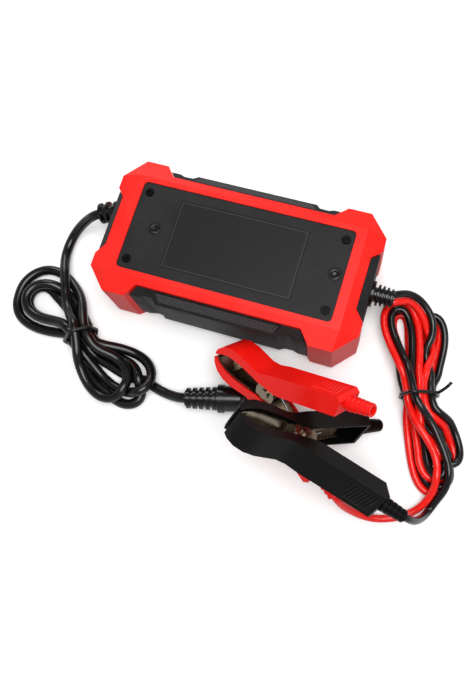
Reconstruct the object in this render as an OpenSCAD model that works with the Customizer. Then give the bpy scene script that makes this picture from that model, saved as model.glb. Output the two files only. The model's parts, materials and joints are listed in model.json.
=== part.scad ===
// Lead-acid battery charger with a moulded case, a mains lead on a two-pin plug,
// and a twin output lead that ends in a red and a black insulated clamp.
// It lies face down: the back cover looks up, +X runs to the output end.
// Millimetres. The origin is the middle of the case, on the surface it lies on.

/* [Case] */
// Length of the case over its corner bumpers
case_l = 180; // [170:1:200]
// Width of the case over its corner bumpers
case_w = 94; // [90:1:104]
// Height of the case, from front face to back face
case_h = 52; // [50:1:60]
// Length of the flat red frame round the back plate
flat_l = 156; // [150:1:160]
// Width of the flat red frame round the back plate
flat_w = 68; // [66:1:72]
// How far the bevel drops from the flat frame to the side walls
bevel_drop = 5.7; // [4:0.1:7]
// Chamfer round the front face
front_chamfer = 3; // [2:0.5:4]
// Height of the parting line above the front face
part_z = 26.7; // [24:0.1:28]
// Wall thickness of the two shells
wall = 2.4; // [2:0.1:2.6]

/* [Back plate] */
// Length of the recessed black back plate
plate_l = 143; // [140:1:146]
// Width of the recessed black back plate
plate_w = 61; // [58:1:62]
// Thickness of the back plate
plate_t = 1.4; // [1.2:0.1:1.6]
// How far the back plate lies below the red frame
plate_drop = 0.6; // [0.4:0.1:0.8]
// Distance between the two wall mounting holes
mount_pitch = 120.4; // [118:0.1:122]
// Middle of the two mounting holes, towards the output end
mount_mid = 5.5; // [4:0.1:6]
// Radius of each wall mounting hole
mount_r = 2.1; // [1.6:0.1:2.4]
// Case screw rows, along the case
screw_x = 66.3; // [65.5:0.1:67]
// Case screw rows, across the case
screw_y = 23.8; // [23:0.1:24.5]

/* [Leads] */
// Diameter of the mains lead
mains_d = 6.8; // [6:0.1:7]
// Diameter of each strand of the output lead
strand_d = 4.8; // [4.4:0.1:5]

/* [Clamps] */
// Pivot to tip of the jaws
jaw_l = 44.3; // [43:0.1:45]
// Pivot to the ends of the handles
handle_l = 50; // [49:0.5:51]
// Half of the angle between the handles
handle_a = 22; // [21:0.5:23]
// Width of a clamp over its sleeves
clamp_w = 18.6; // [18.4:0.1:19]
// Radius of the clamp rivet
rivet_r = 2; // [1.8:0.1:2.2]

/* [Hidden] */
$fn = 48;
tiny = 0.01;
gap = 0.15;

red_abs = [0.90, 0.10, 0.08];
black_abs = [0.14, 0.14, 0.14];
black_pvc = [0.08, 0.08, 0.08];
steel = [0.70, 0.68, 0.64];
board_green = [0.10, 0.35, 0.18];

// ---- outline of the case ----
end_x = case_l / 2;
side_y = case_w / 2;
corner_x = end_x - 13;
corner_y = side_y - 12;
// Side notch: its outer corners, and its inner corners on the bevel
side_out_x = 61.9;
side_in_x = 54.7;
side_in_y = side_y - 8.4;
// End notch: its outer corners, and its inner corners on the bevel
end_out_y = 23.9;
end_in_y = 17.3;
end_in_x = end_x - 6;

// A quarter of the outline, from the end notch to the side notch
quarter = [
    [end_in_x, end_in_y], [end_x, end_out_y], [end_x, corner_y],
    [corner_x, side_y], [side_out_x, side_y], [side_in_x, side_in_y]
];
function flip(p, sx, sy) = [for (q = p) [q.x * sx, q.y * sy]];
function backwards(p) = [for (i = [len(p) - 1:-1:0]) p[i]];
function all_round(q) = concat(
    q, backwards(flip(q, -1, 1)), flip(q, -1, -1), backwards(flip(q, 1, -1))
);
outline = all_round(quarter);
// The notches alone: their slanting sides run on past the corners
end_slant = [end_in_x, end_in_y] * -1 + [end_x, end_out_y] * 2;
side_slant = [side_in_x, side_in_y] * -1 + [side_out_x, side_y] * 2;
notched = all_round([
    [end_in_x, end_in_y], end_slant, [end_slant.x, side_slant.y], side_slant,
    [side_in_x, side_in_y]
]);

function unit(v) = v / norm(v);
// The polygon again, with every edge moved inwards by d
function inset(p, d) = [
    for (i = [0:len(p) - 1])
        let (a = p[(i + len(p) - 1) % len(p)], c = p[(i + 1) % len(p)])
        let (u = unit(p[i] - a), v = unit(c - p[i]))
        let (m = [-u.y, u.x], n = [-v.y, v.x])
        p[i] + (m + n) * d / (1 + m * n)
];
// Points of an arc about c, from angle a to angle b
function arc(c, r, a, b, n = 12) = [
    for (i = [0:n]) c + r * [cos(a + (b - a) * i / n), sin(a + (b - a) * i / n)]
];
// A rectangle with round corners
module round_rect(l, w, r) {
    x = l / 2 - r;
    y = w / 2 - r;
    polygon(concat(
        arc([x, y], r, 0, 90, 6), arc([-x, y], r, 90, 180, 6),
        arc([-x, -y], r, 180, 270, 6), arc([x, -y], r, 270, 360, 6)
    ));
}

// A long prism whose cross-section has the bevel above and the chamfer below
module bevel_prism(half, flat, angle, c) {
    rotate([0, 0, angle])
        rotate([90, 0, 0])
            linear_extrude(3 * case_l, center = true)
                polygon([
                    [-half + c, 0], [half - c, 0], [half, c], [half, case_h - bevel_drop],
                    [flat, case_h], [-flat, case_h], [-half, case_h - bevel_drop], [-half, c]
                ]);
}
// The corner facet runs along the line between the two corner points
facet_a = atan2(end_x - corner_x, side_y - corner_y);
facet_n = [cos(90 - facet_a), sin(90 - facet_a)];
facet_half = [corner_x, side_y] * facet_n;
facet_flat = [flat_l / 2, flat_w / 2] * facet_n;
module case_form() {
    intersection() {
        bevel_prism(end_x, flat_l / 2, 0, front_chamfer);
        bevel_prism(side_y, flat_w / 2, 90, front_chamfer);
        bevel_prism(facet_half, facet_flat, 90 - facet_a, front_chamfer - 0.5);
        bevel_prism(facet_half, facet_flat, facet_a - 90, front_chamfer - 0.5);
    }
}

screw_at = [for (sx = [-1, 1], sy = [-1, 1]) [sx * screw_x, sy * screw_y]];
board_screw_at = [for (sx = [-1, 1], sy = [-1, 1]) [sx * 55, sy * 29]];
mount_at = [mount_mid - mount_pitch / 2, mount_mid + mount_pitch / 2];
plate_z = case_h - plate_drop - plate_t;
web_t = 2;
web_z = plate_z - web_t;
post_r = 3.8;
screw_r = 1.5;
screw_hole_r = 1.65;
board_z = 15;
board_t = 1.6;
board_top = board_z + board_t;
gland_z = 26.7;
mains_gland_y = 13.5;
output_gland_y = 2;
gland_hole_r = 5.2;
panel_z = 2.6;
panel_t = 1.6;
display_x = -12;
button_x = 42;

/* ---- red shells ---- */
module gland_holes() {
    for (g = [[-end_x, mains_gland_y], [end_x, output_gland_y]])
        translate([g.x, g.y, gland_z])
            rotate([0, 90, 0])
                cylinder(h = 24, r = gland_hole_r, center = true);
}
module shell_half(low, high) {
    intersection() {
        case_form();
        translate([0, 0, low])
            linear_extrude(high - low)
                polygon(notched);
    }
}
module front_shell() {
    color(red_abs)
    difference() {
        union() {
            difference() {
                shell_half(0, part_z);
                translate([0, 0, panel_z + panel_t])
                    linear_extrude(case_h)
                        polygon(inset(outline, wall));
            }
            for (p = screw_at)
                translate([p.x, p.y, panel_z])
                    cylinder(h = part_z - panel_z + 6, r = post_r);
            for (p = board_screw_at)
                translate([p.x, p.y, panel_z])
                    cylinder(h = board_z - panel_z, r = 3);
        }
        // front opening, filled by the front panel
        translate([0, 0, -1])
            linear_extrude(panel_z + 1)
                round_rect(flat_l - 8, flat_w - 8, 4);
        translate([0, 0, panel_z - tiny])
            linear_extrude(case_h)
                round_rect(100, 36, 3);
        for (p = screw_at)
            translate([p.x, p.y, 10])
                cylinder(h = case_h, r = screw_hole_r);
        for (p = board_screw_at)
            translate([p.x, p.y, 6])
                cylinder(h = case_h, r = 1.45);
        gland_holes();
    }
}
module back_shell() {
    color(red_abs)
    difference() {
        union() {
            difference() {
                shell_half(part_z, case_h);
                translate([0, 0, -1])
                    linear_extrude(case_h - bevel_drop - 1.4)
                        polygon(inset(outline, wall));
                translate([-plate_l / 2, -plate_w / 2, -1])
                    cube([plate_l, plate_w, web_z + 1]);
            }
            for (p = screw_at)
                translate([p.x, p.y, part_z + 6.3])
                    cylinder(h = web_z - part_z - 6.3 + tiny, r = post_r);
        }
        translate([0, 0, plate_z])
            linear_extrude(case_h)
                round_rect(plate_l + 2 * gap, plate_w + 2 * gap, 3);
        for (p = screw_at)
            translate([p.x, p.y, part_z])
                cylinder(h = case_h, r = screw_hole_r);
        for (x = mount_at)
            translate([x, 0, part_z])
                cylinder(h = case_h, r = mount_r);
        gland_holes();
    }
}

/* ---- back plate, label and screws ---- */
module back_plate() {
    color(black_abs)
    difference() {
        translate([0, 0, plate_z])
            linear_extrude(plate_t)
                round_rect(plate_l, plate_w, 3);
        for (p = screw_at) {
            translate([p.x, p.y, plate_z - 1])
                cylinder(h = 5, r = screw_hole_r);
            translate([p.x, p.y, plate_z + 0.6])
                cylinder(h = 5, r = 3);
        }
        for (x = mount_at) {
            translate([x, 0, plate_z - 1])
                cylinder(h = 5, r = mount_r);
            translate([x, 0, plate_z + plate_t - 0.5])
                difference() {
                    cylinder(h = 5, r = 4.6);
                    translate([0, 0, -1])
                        cylinder(h = 7, r = 3.6);
                }
        }
        translate([0, 0, plate_z + plate_t - label_sink])
            linear_extrude(2)
                round_rect(label_l + 0.3, label_w + 0.3, 1.5);
    }
}
label_l = 86.5;
label_w = 47;
label_sink = 0.2;
module rating_label() {
    color([0.17, 0.17, 0.16])
        translate([0, 0, plate_z + plate_t - label_sink])
            linear_extrude(0.25)
                round_rect(label_l, label_w, 1.5);
}
// A screw that stands head up, with its head's seat at z = 0
module screw(r, head_r, head_h, length) {
    difference() {
        union() {
            translate([0, 0, -length])
                cylinder(h = length + tiny, r = r);
            cylinder(h = head_h, r = head_r);
        }
        for (a = [0, 90])
            translate([0, 0, head_h])
                rotate([0, 0, a])
                    cube([head_r * 1.3, 0.6, 1.2], center = true);
    }
}
module case_screws() {
    color([0.12, 0.12, 0.12])
        for (p = screw_at)
            translate([p.x, p.y, plate_z + 0.6])
                screw(screw_r, 2.7, 1.3, 24);
}

/* ---- black side panels with their grip pads ---- */
block_l = 82;
block_y = side_y - 0.7;
dent_y = side_y - 3.9;
end_block_y = side_y - 2.3;
inner_y = side_in_y + gap;
top_z = case_h - 4.5;
// The sloping top of a panel: its height where it is y away from the middle of the case
slope = 36;
function slope_z(y) = top_z - (y - inner_y) * tan(slope);
// Outer wall in plan, from the middle outwards: raised block, dent, end block
wall_plan = [
    [block_l / 2, block_y], [block_l / 2 + 2.6, dent_y + 0.3], [49.6, dent_y],
    [53, end_block_y], [64, end_block_y]
];
pad_in_l = 85.2;
pad_out_l = 75.6;
module along_side(length) {
    rotate([90, 0, 90])
        linear_extrude(length, center = true)
            children();
}
// The pad in plan: longer on the side of the frame
module pad_plan(c) {
    linear_extrude(case_h)
        polygon([
            [c - pad_in_l / 2, inner_y], [pad_in_l / 2 - c, inner_y],
            [pad_out_l / 2 - c, block_y], [c - pad_out_l / 2, block_y]
        ]);
}
module far_panel_form() {
    difference() {
        intersection() {
            // the wall, its slanting ends clear of the bumpers
            linear_extrude(case_h)
                intersection() {
                    polygon(concat(
                        wall_plan, [[64, inner_y], [-64, inner_y]], backwards(flip(wall_plan, -1, 1))
                    ));
                    polygon([
                        [-side_in_x + gap * 2, inner_y], [side_in_x - gap * 2, inner_y],
                        [side_out_x - gap * 2, side_y], [-side_out_x + gap * 2, side_y]
                    ]);
                }
            along_side(2 * side_out_x)
                polygon([
                    [inner_y, 3], [block_y - 3.6, 3], [block_y + 0.1, 10],
                    [block_y + 0.1, slope_z(block_y + 0.1)], [inner_y, top_z]
                ]);
        }
        // seat of the grip pad
        intersection() {
            pad_plan(0);
            along_side(case_l)
                polygon(pad_section(0));
        }
        // low step in the skirt
        translate([8, block_y, 4])
            cube([30, 5, 6], center = true);
    }
}
pad_low = [block_y - 1.7, slope_z(block_y - 1.7)];
pad_high = [inner_y + 0.9, slope_z(inner_y + 0.9)];
pad_dir = unit(pad_high - pad_low);
pad_n = [pad_dir.y, -pad_dir.x] * -1;
pad_t = 1.0;
// The pad's cross-section, thinner on all sides by c, standing 0.3 proud of the slope
function pad_section(c) = [
    pad_low + pad_dir * c - pad_n * (pad_t - c),
    pad_high - pad_dir * c - pad_n * (pad_t - c),
    pad_high - pad_dir * c + pad_n * (c == 0 ? 3 : 0.3),
    pad_low + pad_dir * c + pad_n * (c == 0 ? 3 : 0.3)
];
module far_pad_form() {
    intersection() {
        pad_plan(0.15);
        along_side(case_l)
            polygon(pad_section(0.12));
    }
}
module far_side_panel() {
    color(black_abs)
        far_panel_form();
}
module near_side_panel() {
    color(black_abs)
        mirror([0, 1, 0])
            far_panel_form();
}
module far_grip_pad() {
    color([0.2, 0.2, 0.2])
        far_pad_form();
}
module near_grip_pad() {
    color([0.2, 0.2, 0.2])
        mirror([0, 1, 0])
            far_pad_form();
}

/* ---- end caps ---- */
cap_in = end_in_x + gap;
cap_out = end_x - 0.9;
module end_cap(gland_y) {
    difference() {
        intersection() {
            rotate([90, 0, 0])
                linear_extrude(case_w, center = true)
                    polygon([
                        [cap_in, 3], [cap_out - 1, 3], [cap_out, 5], [cap_out, 44.5],
                        [cap_in + 0.6, case_h - 3.4], [cap_in, case_h - 3.4]
                    ]);
            linear_extrude(case_h)
                polygon([
                    [cap_in, end_in_y - gap * 2], [end_x, end_out_y - gap * 2 - 0.3],
                    [end_x, -end_out_y + gap * 2 + 0.3], [cap_in, -end_in_y + gap * 2]
                ]);
        }
        translate([end_x, gland_y, gland_z])
            rotate([0, 90, 0])
                cylinder(h = 24, r = gland_hole_r, center = true);
    }
}
module output_end_cap() {
    color(black_abs)
        end_cap(output_gland_y);
}
module mains_end_cap() {
    color(black_abs)
        rotate([0, 0, 180])
            end_cap(-mains_gland_y);
}

/* ---- strain reliefs in the end caps ---- */
neck_r = gland_hole_r - 0.05;
gland_in = end_x - 6 - wall - 3;
// A bush that points along +X from the inside of the wall: collar, neck and flange
module gland_root(flange_r, flange_t, bore_r) {
    difference() {
        union() {
            translate([gland_in, 0, 0])
                rotate([0, 90, 0])
                    cylinder(h = cap_out - gland_in + tiny, r = neck_r);
            translate([gland_in, 0, 0])
                rotate([0, 90, 0])
                    cylinder(h = 2.8, r = gland_hole_r + 1.3);
            translate([cap_out, 0, 0])
                rotate([0, 90, 0])
                    cylinder(h = flange_t, r = flange_r);
        }
        translate([gland_in - 1, 0, 0])
            rotate([0, 90, 0])
                cylinder(h = 40, r = bore_r);
    }
}
relief_bends = 6;
relief_step = 2.4;
// The sleeve bends down and towards the near side: place and turn of its ith disc
function relief_turn(i) = [0, 2 * i, -4 * i];
function relief_at(i) = i == 0 ? [cap_out + 2.6, 0, 0] :
    relief_at(i - 1) + relief_step * [
        cos(relief_turn(i).y) * cos(relief_turn(i).z),
        cos(relief_turn(i).y) * sin(relief_turn(i).z),
        -sin(relief_turn(i).y)
    ];
module relief_disc(i, r, h) {
    translate(relief_at(i))
        rotate(relief_turn(i))
            rotate([0, 90, 0])
                cylinder(h = h, r = r, $fn = 32);
}
module mains_gland() {
    color(black_pvc)
    translate([0, mains_gland_y, gland_z])
    mirror([1, 0, 0]) {
        gland_root(8, 2.8, mains_d / 2 + 0.05);
        for (i = [0:relief_bends - 1]) {
            relief_disc(i, 5.4 - 0.1 * i, relief_step + 0.35);
            if (i % 2 == 1)
                relief_disc(i, 7.9 - 0.15 * i, relief_step * 0.62);
        }
    }
}
module output_gland() {
    color(black_pvc)
    translate([0, output_gland_y, gland_z]) {
        gland_root(8.6, 2.2, 4);
        translate([cap_out + 2, 0, 0])
            rotate([0, 90, 0])
                cylinder(h = 13.4, r = 4.9);
        for (i = [0:3])
            translate([cap_out + 4 + 2.9 * i, 0, 0])
                rotate([0, 90, 0])
                    cylinder(h = 1.6, r = 7.1 - 0.3 * i);
    }
}

/* ---- front: panel, display and button ---- */
module front_panel() {
    color([0.05, 0.05, 0.05])
    difference() {
        translate([0, 0, 1])
            linear_extrude(panel_z - 1)
                round_rect(flat_l - 8.4, flat_w - 8.4, 3.8);
        translate([display_x, 0, 0])
            linear_extrude(case_h)
                round_rect(58.3, 32.3, 1.2);
        translate([button_x, 0, 0])
            cylinder(h = case_h, r = 5.3);
    }
}
module display_window() {
    color([0.25, 0.3, 0.32, 0.5])
        translate([display_x, 0, 1.2])
            linear_extrude(panel_z - 1.2)
                round_rect(58, 32, 1);
}
module display_module() {
    color([0.5, 0.6, 0.55])
        translate([display_x - 26, -14, panel_z + 0.3])
            cube([52, 28, 3.2]);
}
module display_board() {
    color(board_green)
        translate([-44, -16, 7])
            cube([88, 32, 1.2]);
}
module mode_button() {
    color([0.75, 0.1, 0.08])
        translate([button_x, 0, 0.7]) {
            cylinder(h = 3.3, r = 5);
            translate([0, 0, 2.3])
                cylinder(h = 1.1, r = 6.2);
        }
}
module button_switch() {
    color([0.1, 0.1, 0.1])
        translate([button_x, 0, 0]) {
            translate([-3, -3, 5.8])
                cube([6, 6, 1.2]);
            translate([0, 0, 5.1])
                cylinder(h = 0.8, r = 1.7);
        }
}
module board_header() {
    color([0.1, 0.1, 0.1])
        translate([-41, -5, 8.2])
            cube([5, 10, board_z - 8.2]);
}

/* ---- circuit board and what stands on it ---- */
module main_board() {
    color(board_green)
    difference() {
        translate([-60, -33, board_z])
            cube([120, 66, board_t]);
        for (p = board_screw_at)
            translate([p.x, p.y, board_z - 1])
                cylinder(h = 4, r = 1.7);
    }
}
module board_screws() {
    color([0.6, 0.6, 0.6])
        for (p = board_screw_at)
            translate([p.x, p.y, board_top])
                screw(1.4, 2.6, 1.5, 8);
}
trafo = [-8, 0];
module transformer_core() {
    color([0.15, 0.15, 0.17])
        translate([trafo.x, trafo.y, board_top + 2]) {
            for (sx = [-1, 1])
                translate([sx * 14.5 - 2.5, -9, 0])
                    cube([5, 18, 26]);
            for (z = [0, 21])
                translate([-12, -9, z])
                    cube([24, 18, 5]);
        }
}
module transformer_winding() {
    color([0.85, 0.7, 0.15])
        translate([trafo.x, trafo.y, board_top])
            difference() {
                union() {
                    translate([-11.7, -14, 7.2])
                        cube([23.4, 28, 15.6]);
                    translate([-11, -14, 0])
                        cube([22, 4.8, 8]);
                    translate([-11, 9.2, 0])
                        cube([22, 4.8, 8]);
                }
            }
}
module filter_choke() {
    color([0.72, 0.4, 0.15])
        translate([-42, 14, board_top + 4.5])
            rotate_extrude()
                translate([7.5, 0])
                    circle(r = 4.4, $fn = 32);
}
module mains_capacitor() {
    color([0.12, 0.12, 0.35])
        translate([-42, -12, board_top])
            cylinder(h = 26, r = 9);
}
module output_capacitors() {
    color([0.1, 0.1, 0.1])
        for (y = [-6.5, 6.5])
            translate([46, y, board_top])
                cylinder(h = 20, r = 5.2);
}
module heatsink(l) {
    cube([l, 1.8, 26]);
    for (i = [0:floor(l / 6)])
        translate([i * 6, 1.7, 6])
            cube([1.4, 5, 20]);
}
module primary_heatsink() {
    color(steel)
        translate([-24, 24, board_top])
            heatsink(32);
}
module output_heatsink() {
    color(steel)
        translate([42, -24, board_top])
            rotate([0, 0, 180])
                heatsink(26);
}
module power_transistors() {
    color([0.1, 0.1, 0.1])
        for (p = [[-20, 19.4], [-4, 19.4], [20, -23.9], [32, -23.9]])
            translate([p.x, p.y, board_top + 5]) {
                cube([10, 4.5, 15]);
                for (i = [0:2])
                    translate([1.5 + 2.6 * i, 1.8, -5])
                        cube([0.8, 0.8, 5.1]);
            }
}
module mains_fuse() {
    color([0.8, 0.8, 0.75]) {
        translate([-57, -6, board_top + 4])
            rotate([-90, 0, 0])
                cylinder(h = 20, r = 2.6);
        for (y = [-5, 9])
            translate([-60, y, board_top])
                cube([6, 4, 3]);
    }
}

/* ---- leads: a tube swept along chosen points ---- */
function frame_z(t) = unit(cross(t, [0.05, 0.03, 1]));
function tangent(p, i) = unit(p[min(i + 1, len(p) - 1)] - p[max(i - 1, 0)]);
function ring(c, t, r, n) =
    let (a = frame_z(t), b = cross(a, t))
    [for (k = [0:n - 1]) c + r * (a * cos(360 * k / n) + b * sin(360 * k / n))];
module tube(p, r, n) {
    m = len(p);
    points = [for (i = [0:m - 1]) each ring(p[i], tangent(p, i), r, n)];
    sides = [
        for (i = [0:m - 2], k = [0:n - 1])
            [i * n + k, (i + 1) * n + k, (i + 1) * n + (k + 1) % n, i * n + (k + 1) % n]
    ];
    polyhedron(points, concat(
        sides, [[for (k = [0:n - 1]) k]],
        [[for (k = [n - 1:-1:0]) (m - 1) * n + k]]
    ));
}
// A bundle of turns pinched at its tie: two round lobes joined at a waist
module bow(c1, r1, c2, r2, w, waist_r, h) {
    d = unit(c2 - c1);
    a = atan2(d.y, d.x);
    n = [-d.y, d.x];
    linear_extrude(h)
        polygon(concat(
            arc(c1, r1, a + 60, a + 300, 16), [w - n * waist_r],
            arc(c2, r2, a - 120, a + 120, 16), [w + n * waist_r]
        ));
}

// Middle of the sleeve's mouth, where the mains lead starts
mouth_turn = relief_turn(relief_bends - 1);
mouth_dir = [
    cos(mouth_turn.y) * cos(mouth_turn.z), cos(mouth_turn.y) * sin(mouth_turn.z), -sin(mouth_turn.y)
];
mouth = relief_at(relief_bends - 1) + (relief_step + 0.45) * mouth_dir;
mains_start = [-mouth.x, mains_gland_y + mouth.y, gland_z + mouth.z];
mains_out = [-mouth_dir.x, mouth_dir.y, mouth_dir.z];
mains_route = [
    mains_start, mains_start + 4 * mains_out, [-118, 3.6, 18.6], [-125, -4, 11], [-130, -13, 5.6],
    [-132, -21, 3.9], [-131.5, -25, 3.9]
];
mains_tail_route = [
    [-33.2, -97.4, 4], [-26, -97.8, 5], [-19.4, -97.4, 8], [-13.9, -96, 9.6], [-10.1, -95, 9.6]
];
mains_hank_h = 19;
mains_waist = [-95, -74.2];
module mains_lead() {
    color(black_pvc)
        tube(mains_route, mains_d / 2, 12);
}
module mains_hank() {
    color(black_pvc)
        bow([-130, -51], 25.6, [-57, -96], 23.5, mains_waist, 9.8, mains_hank_h);
}
module mains_lead_tail() {
    color(black_pvc)
        tube(mains_tail_route, mains_d / 2, 12);
}
// A wire tie that stands round a bundle's waist
module tie(c, along, half_w, h, tail) {
    translate([c.x, c.y, 0])
        rotate([0, 0, along]) {
            difference() {
                translate([-1.2, -half_w - 1.6, 0])
                    cube([2.4, 2 * half_w + 3.2, h + 1.6]);
                translate([-2, -half_w, -1])
                    cube([4, 2 * half_w, h + 1]);
            }
            if (tail > 0)
                translate([0, half_w + 1.4, h])
                    rotate([-60, 0, 35])
                        cylinder(h = tail, r = 1, $fn = 16);
        }
}

module mains_tie() {
    color(black_pvc)
        tie(mains_waist, -36, 11.6, mains_hank_h + 0.4, 0);
}

/* ---- plug ---- */
plug_at = [-10, -95, 9.6];
plug_turn = 15;
module along_plug() {
    translate(plug_at)
        rotate([0, 0, plug_turn])
            rotate([0, 90, 0])
                children();
}
pin_pitch = 19;
head_sink = 2.1;
module plug_body() {
    color(black_pvc)
    along_plug()
    difference() {
        union() {
            cylinder(h = 24, r1 = 5.2, r2 = 6);
            for (i = [0:4])
                translate([0, 0, 1.2 + 4.4 * i])
                    cylinder(h = 2.2, r = 6.9 + 0.25 * i);
            translate([0, 0, 22.4])
                cylinder(h = 4, r = 9.4);
            translate([0, 0, 26])
                cylinder(h = 12, r = 8.6);
            translate([head_sink - 6.3, -14.5, 35])
                cube([12.6, 29, 20]);
        }
        translate([0, 0, -1])
            cylinder(h = 8, r = mains_d / 2 + 0.05);
        for (sy = [-1, 1])
            translate([head_sink, sy * pin_pitch / 2, 47])
                cylinder(h = 20, r = 2);
    }
}
module plug_pins() {
    color([0.8, 0.78, 0.7])
    along_plug()
        for (sy = [-1, 1])
            translate([head_sink, sy * pin_pitch / 2, 47]) {
                cylinder(h = 25, r = 1.98);
                translate([0, 0, 25])
                    sphere(r = 1.98);
            }
}

/* ---- output leads ---- */
output_hank_h = 15;
output_waist = [136.4, -50.2];
module output_lead_in() {
    color(black_pvc)
        tube([
            [104.6, output_gland_y, gland_z], [107, output_gland_y, gland_z], [111, 1.8, 25.8],
            [115, 0.8, 23.2], [118, -0.8, 19.4], [119.4, -2, output_hank_h + 0.6]
        ], 4.4, 8);
}
module output_hank() {
    color(black_pvc)
        bow([123, -10], 21.5, [156.5, -91], 20.5, output_waist, 8.4, output_hank_h);
}
module output_tie() {
    color(black_pvc)
        tie(output_waist, -70, 9.9, output_hank_h + 0.4, 11);
}
module output_slack() {
    color(black_pvc)
        tube([
            [127.4, -51.6, 4.6], [122.4, -55.6, 4.6], [117.6, -59.9, 4.6], [113, -64.2, 4.6],
            [109.4, -67.4, 4.6]
        ], 4.4, 8);
}

/* ---- clamps ---- */
// Each clamp lies at [place of its pivot], [roll, pitch, yaw]
red_at = [48.1, -77.8, 37.6];
red_turn = [47.8, -15, -24.9];
black_at = [73.8, -105.5, 57.2];
black_turn = [-39, 31.4, 3.4];
open_by = 0;

sleeve_t = 1.05;
in_w = clamp_w / 2 - sleeve_t;
ta = tan(handle_a);
depth = 13.6;
function in_y(x) = 1.7 + x * ta;
function out_y(x) = in_y(x) + depth;
jaw_back = [
    [-jaw_l, 1.6], [-jaw_l + 1.2, 5.2], [-jaw_l + 5, 9.6], [-jaw_l + 11, 12.2],
    [-jaw_l + 18, 12.8], [-jaw_l + 25, 11.8], [-12, 10.9], [-6, 12]
];
jaw_gap = [
    [-6, 4.8], [-12, 5.6], [-jaw_l + 24, 6.3], [-jaw_l + 18, 6.6], [-jaw_l + 11, 6.0],
    [-jaw_l + 5, 3.8], [-jaw_l + 1.5, 1.2]
];
handle_gap = [[handle_l, in_y(handle_l)], [12, in_y(12)], [7, 5]];
handle_back = [
    [2, out_y(2)], [handle_l - 3, out_y(handle_l - 3)], [handle_l, out_y(handle_l) - 3]
];
sleeve_outline = concat(jaw_back, handle_back, handle_gap, jaw_gap);
back_line = concat(jaw_back, [[2, out_y(2)], [handle_l - 3, out_y(handle_l - 3)]]);
// The same back line, moved towards the gap by d
function back_inside(d) = [for (p = back_line) [p.x + (p.x < -jaw_l + 6 ? d * 0.8 : 0), p.y - d]];
steel_l = 34;
module sleeve_half() {
    difference() {
        linear_extrude(clamp_w, center = true)
            polygon(sleeve_outline);
        linear_extrude(2 * in_w, center = true)
            polygon(concat(
                [for (p = back_inside(1.5)) [min(p.x, handle_l - 2), p.y]],
                [[handle_l - 2, in_y(handle_l) - 4], [7, 3], [-6, -1], [-jaw_l + 1.2, -1]]
            ));
        boot_place()
            translate([0, 0, -4])
                cylinder(h = 26, r = strand_d / 2 + 0.1);
    }
    boot();
}
module boot_place() {
    translate([handle_l, in_y(handle_l) + depth / 2, 0])
        rotate([0, 90, handle_a])
            children();
}
boot_l = 17;
module boot() {
    difference() {
        boot_place() {
            translate([0, 0, -1])
                cylinder(h = boot_l + 1, r1 = 4.1, r2 = 3.6);
            for (i = [0:4])
                translate([0, 0, 1.4 + 3.3 * i])
                    cylinder(h = 1.9, r = 4.9 - 0.22 * i);
        }
        boot_place()
            translate([0, 0, -4])
                cylinder(h = 26, r = strand_d / 2 + 0.1);
        translate([handle_l - 10, 0, -20])
            cube([8, 60, 40]);
    }
}
// Steel half: two flanges and the back that joins them, |z| from z_in to z_out
module jaw_half(z_in, z_out) {
    difference() {
        union() {
            linear_extrude(2 * z_out, center = true)
                polygon(concat(
                    [for (p = back_inside(1.65)) if (p.x < steel_l) p], [[steel_l, in_y(steel_l) + 9]],
                    [[steel_l, in_y(steel_l) + 4], [9, 6.5], [-8, 5.2]],
                    [for (p = jaw_gap) if (p.x < -10) [p.x, p.y - 0.9]]
                ));
            cylinder(h = 2 * z_out, r = 7.2, center = true);
        }
        linear_extrude(2 * z_in, center = true)
            polygon(concat(
                [for (p = back_inside(2.7)) if (p.x < steel_l) p], [[steel_l + 1, in_y(steel_l) + 9]],
                [[steel_l + 1, -9], [-8, -9], [-jaw_l + 7, -9]]
            ));
        cylinder(h = 40, r = rivet_r + 0.05, center = true);
        // teeth along the jaw's edge
        for (i = [0:6])
            translate([-jaw_l + 7 + 3.2 * i, 0.2 + min(i, 2) * 1.2, 0])
                rotate([0, 0, 45])
                    cube([2, 2, 40], center = true);
    }
}
z_a = [6.75, in_w - 0.3];
z_b = [5.45, 6.45];
module rivet() {
    cylinder(h = 2 * z_a.y + 1, r = rivet_r, center = true);
    for (s = [-1, 1])
        translate([0, 0, s * (z_a.y + 0.75)])
            cylinder(h = 1.3, r = 3.1, center = true);
}
module spring() {
    for (i = [-2:2])
        translate([0, 0, i * 1.5])
            rotate_extrude()
                translate([3.4, 0])
                    circle(r = 0.75, $fn = 16);
    for (s = [-1, 1])
        rotate([0, 0, s * 32])
            translate([3, 0, s * 3])
                rotate([0, 90, 0])
                    cylinder(h = 14, r = 0.7, $fn = 16);
}
module at_red() {
    translate(red_at)
        rotate(red_turn)
            children();
}
module at_black() {
    translate(black_at)
        rotate(black_turn)
            children();
}
// The far half is the +Y one in the clamp's own frame
module far_half() {
    children();
}
module near_half() {
    mirror([0, 1, 0])
        children();
}
red_pvc = [0.92, 0.07, 0.05];
// Red: the near half is fixed, the far half opens
module red_fixed_grip() {
    color(red_pvc)
        at_red() near_half() sleeve_half();
}
module red_fixed_jaw() {
    color(steel)
        at_red() near_half() jaw_half(z_a.x, z_a.y);
}
module red_moving_grip() {
    color(red_pvc)
        at_red() rotate([0, 0, -open_by]) far_half() sleeve_half();
}
module red_moving_jaw() {
    color(steel)
        at_red() rotate([0, 0, -open_by]) far_half() jaw_half(z_b.x, z_b.y);
}
module red_rivet() {
    color(steel)
        at_red() rivet();
}
module red_spring() {
    color(steel)
        at_red() spring();
}
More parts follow.
